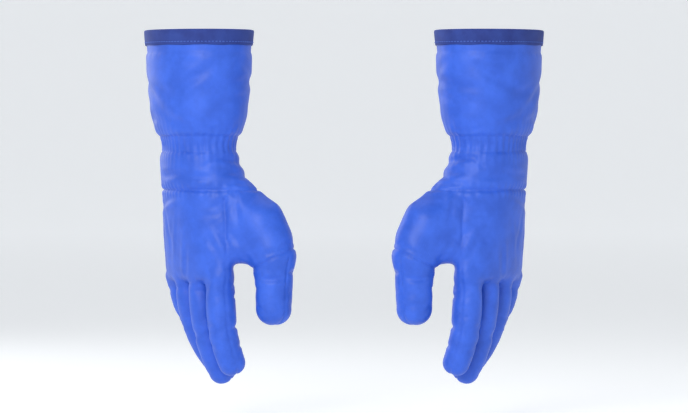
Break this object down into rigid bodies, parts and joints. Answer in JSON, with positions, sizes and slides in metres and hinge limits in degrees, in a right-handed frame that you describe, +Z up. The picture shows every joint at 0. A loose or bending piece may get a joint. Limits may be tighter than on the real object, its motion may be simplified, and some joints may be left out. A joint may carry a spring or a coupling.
{
  "type": "cryogenic gloves",
  "caption": "Insulated cryogenic gloves, right and left, as worn: open cuffs up, padded fingers curled and hanging, thumbs apart, for handling very cold goods.",
  "frame": {"origin": "centre of the right glove's cuff mouth, level with the top of its hem binding", "axes": "+Z up the arm, out of the cuffs; +X from the right glove to the left glove; +Y towards the wearer's back, so the backs of the index fingers and the thumbs are seen along +Y"},
  "size_m": [0.3596, 0.108, 0.3163],
  "materials": {
    "shell": "smooth coated woven nylon with a soft sheen",
    "insulation": "soft needled fibre",
    "lining": "brushed knit",
    "liner": "brushed knit bonded to soft fibre",
    "binding": "ribbed woven tape",
    "elastic": "ribbed woven elastic",
    "label": "satin tape, blank"
  },
  "bodies": {
    "right_cuff": {"right_cuff_shell": "shell", "right_cuff_insulation": "insulation", "right_cuff_lining": "lining", "right_hem_binding": "binding", "right_wrist_elastic": "elastic", "right_size_label": "label"},
    "right_hand": {"right_hand_back_shell": "shell", "right_hand_palm_shell": "shell", "right_hand_back_liner": "liner", "right_hand_palm_liner": "liner"},
    "right_thumb_base": {"right_thumb_base_shell": "shell", "right_thumb_base_liner": "liner"},
    "right_thumb_tip": {"right_thumb_tip_shell": "shell", "right_thumb_tip_liner": "liner"},
    "right_index_base": {"right_index_base_shell": "shell", "right_index_base_liner": "liner"},
    "right_index_tip": {"right_index_tip_shell": "shell", "right_index_tip_liner": "liner"},
    "right_middle_base": {"right_middle_base_shell": "shell", "right_middle_base_liner": "liner"},
    "right_middle_tip": {"right_middle_tip_shell": "shell", "right_middle_tip_liner": "liner"},
    "right_ring_base": {"right_ring_base_shell": "shell", "right_ring_base_liner": "liner"},
    "right_ring_tip": {"right_ring_tip_shell": "shell", "right_ring_tip_liner": "liner"},
    "right_little_base": {"right_little_base_shell": "shell", "right_little_base_liner": "liner"},
    "right_little_tip": {"right_little_tip_shell": "shell", "right_little_tip_liner": "liner"},
    "left_cuff": {"left_cuff_shell": "shell", "left_cuff_insulation": "insulation", "left_cuff_lining": "lining", "left_hem_binding": "binding", "left_wrist_elastic": "elastic", "left_size_label": "label"},
    "left_hand": {"left_hand_back_shell": "shell", "left_hand_palm_shell": "shell", "left_hand_back_liner": "liner", "left_hand_palm_liner": "liner"},
    "left_thumb_base": {"left_thumb_base_shell": "shell", "left_thumb_base_liner": "liner"},
    "left_thumb_tip": {"left_thumb_tip_shell": "shell", "left_thumb_tip_liner": "liner"},
    "left_index_base": {"left_index_base_shell": "shell", "left_index_base_liner": "liner"},
    "left_index_tip": {"left_index_tip_shell": "shell", "left_index_tip_liner": "liner"},
    "left_middle_base": {"left_middle_base_shell": "shell", "left_middle_base_liner": "liner"},
    "left_middle_tip": {"left_middle_tip_shell": "shell", "left_middle_tip_liner": "liner"},
    "left_ring_base": {"left_ring_base_shell": "shell", "left_ring_base_liner": "liner"},
    "left_ring_tip": {"left_ring_tip_shell": "shell", "left_ring_tip_liner": "liner"},
    "left_little_base": {"left_little_base_shell": "shell", "left_little_base_liner": "liner"},
    "left_little_tip": {"left_little_tip_shell": "shell", "left_little_tip_liner": "liner"}
  },
  "joints": [
    {"name": "left_glove_slide", "type": "slide", "parent": "right_cuff", "child": "left_cuff", "axis": [1, 0, 0], "range_m": [0, 0.43]},
    {"name": "right_wrist", "type": "hinge", "parent": "right_cuff", "child": "right_hand", "pos_m": [0, 0, -0.125], "axis": [0.5, -0.866, 0], "range_deg": [-20, 20], "stiffness_Nm_per_rad": 1.5},
    {"name": "right_index_base", "type": "hinge", "parent": "right_hand", "child": "right_index_base", "pos_m": [0.01972, -0.03215, -0.239], "axis": [0.5, -0.866, 0], "range_deg": [-12, 56], "stiffness_Nm_per_rad": 0.15},
    {"name": "right_index_middle", "type": "hinge", "parent": "right_index_base", "child": "right_index_tip", "pos_m": [0.02141, -0.03117, -0.26693], "axis": [0.5, -0.866, 0], "range_deg": [-12, 63], "stiffness_Nm_per_rad": 0.12},
    {"name": "right_middle_base", "type": "hinge", "parent": "right_hand", "child": "right_middle_base", "pos_m": [0.00437, -0.01157, -0.241], "axis": [0.5, -0.866, 0], "range_deg": [-17, 51], "stiffness_Nm_per_rad": 0.15},
    {"name": "right_middle_middle", "type": "hinge", "parent": "right_middle_base", "child": "right_middle_tip", "pos_m": [0.00857, -0.00914, -0.27162], "axis": [0.5, -0.866, 0], "range_deg": [-11, 64], "stiffness_Nm_per_rad": 0.12},
    {"name": "right_ring_base", "type": "hinge", "parent": "right_hand", "child": "right_ring_base", "pos_m": [-0.00795, 0.01077, -0.239], "axis": [0.5, -0.866, 0], "range_deg": [-22, 46], "stiffness_Nm_per_rad": 0.15},
    {"name": "right_ring_middle", "type": "hinge", "parent": "right_ring_base", "child": "right_ring_tip", "pos_m": [-0.00208, 0.01415, -0.26617], "axis": [0.5, -0.866, 0], "range_deg": [-14, 61], "stiffness_Nm_per_rad": 0.12},
    {"name": "right_little_base", "type": "hinge", "parent": "right_hand", "child": "right_little_base", "pos_m": [-0.01702, 0.03348, -0.232], "axis": [0.5, -0.866, 0], "range_deg": [-28, 40], "stiffness_Nm_per_rad": 0.15},
    {"name": "right_little_middle", "type": "hinge", "parent": "right_little_base", "child": "right_little_tip", "pos_m": [-0.0105, 0.03724, -0.25267], "axis": [0.5, -0.866, 0], "range_deg": [-15, 60], "stiffness_Nm_per_rad": 0.12},
    {"name": "right_thumb_base", "type": "hinge", "parent": "right_hand", "child": "right_thumb_base", "pos_m": [0.06764, -0.03716, -0.2105], "axis": [-0.7193, -0.6947, 0], "range_deg": [-30, 20], "stiffness_Nm_per_rad": 0.2},
    {"name": "right_thumb_middle", "type": "hinge", "parent": "right_thumb_base", "child": "right_thumb_tip", "pos_m": [0.06764, -0.03716, -0.232], "axis": [-0.7193, -0.6947, 0], "range_deg": [-45, 5], "stiffness_Nm_per_rad": 0.15},
    {"name": "left_wrist", "type": "hinge", "parent": "left_cuff", "child": "left_hand", "pos_m": [0.26, 0, -0.125], "axis": [0.5, 0.866, 0], "range_deg": [-20, 20], "stiffness_Nm_per_rad": 1.5},
    {"name": "left_index_base", "type": "hinge", "parent": "left_hand", "child": "left_index_base", "pos_m": [0.24028, -0.03215, -0.239], "axis": [0.5, 0.866, 0], "range_deg": [-12, 56], "stiffness_Nm_per_rad": 0.15},
    {"name": "left_index_middle", "type": "hinge", "parent": "left_index_base", "child": "left_index_tip", "pos_m": [0.23859, -0.03117, -0.26693], "axis": [0.5, 0.866, 0], "range_deg": [-12, 63], "stiffness_Nm_per_rad": 0.12},
    {"name": "left_middle_base", "type": "hinge", "parent": "left_hand", "child": "left_middle_base", "pos_m": [0.25563, -0.01157, -0.241], "axis": [0.5, 0.866, 0], "range_deg": [-17, 51], "stiffness_Nm_per_rad": 0.15},
    {"name": "left_middle_middle", "type": "hinge", "parent": "left_middle_base", "child": "left_middle_tip", "pos_m": [0.25143, -0.00914, -0.27162], "axis": [0.5, 0.866, 0], "range_deg": [-11, 64], "stiffness_Nm_per_rad": 0.12},
    {"name": "left_ring_base", "type": "hinge", "parent": "left_hand", "child": "left_ring_base", "pos_m": [0.26795, 0.01077, -0.239], "axis": [0.5, 0.866, 0], "range_deg": [-22, 46], "stiffness_Nm_per_rad": 0.15},
    {"name": "left_ring_middle", "type": "hinge", "parent": "left_ring_base", "child": "left_ring_tip", "pos_m": [0.26208, 0.01415, -0.26617], "axis": [0.5, 0.866, 0], "range_deg": [-14, 61], "stiffness_Nm_per_rad": 0.12},
    {"name": "left_little_base", "type": "hinge", "parent": "left_hand", "child": "left_little_base", "pos_m": [0.27702, 0.03348, -0.232], "axis": [0.5, 0.866, 0], "range_deg": [-28, 40], "stiffness_Nm_per_rad": 0.15},
    {"name": "left_little_middle", "type": "hinge", "parent": "left_little_base", "child": "left_little_tip", "pos_m": [0.2705, 0.03724, -0.25267], "axis": [0.5, 0.866, 0], "range_deg": [-15, 60], "stiffness_Nm_per_rad": 0.12},
    {"name": "left_thumb_base", "type": "hinge", "parent": "left_hand", "child": "left_thumb_base", "pos_m": [0.19236, -0.03716, -0.2105], "axis": [-0.7193, 0.6947, 0], "range_deg": [-30, 20], "stiffness_Nm_per_rad": 0.2},
    {"name": "left_thumb_middle", "type": "hinge", "parent": "left_thumb_base", "child": "left_thumb_tip", "pos_m": [0.19236, -0.03716, -0.232], "axis": [-0.7193, 0.6947, 0], "range_deg": [-45, 5], "stiffness_Nm_per_rad": 0.15}
  ]
}
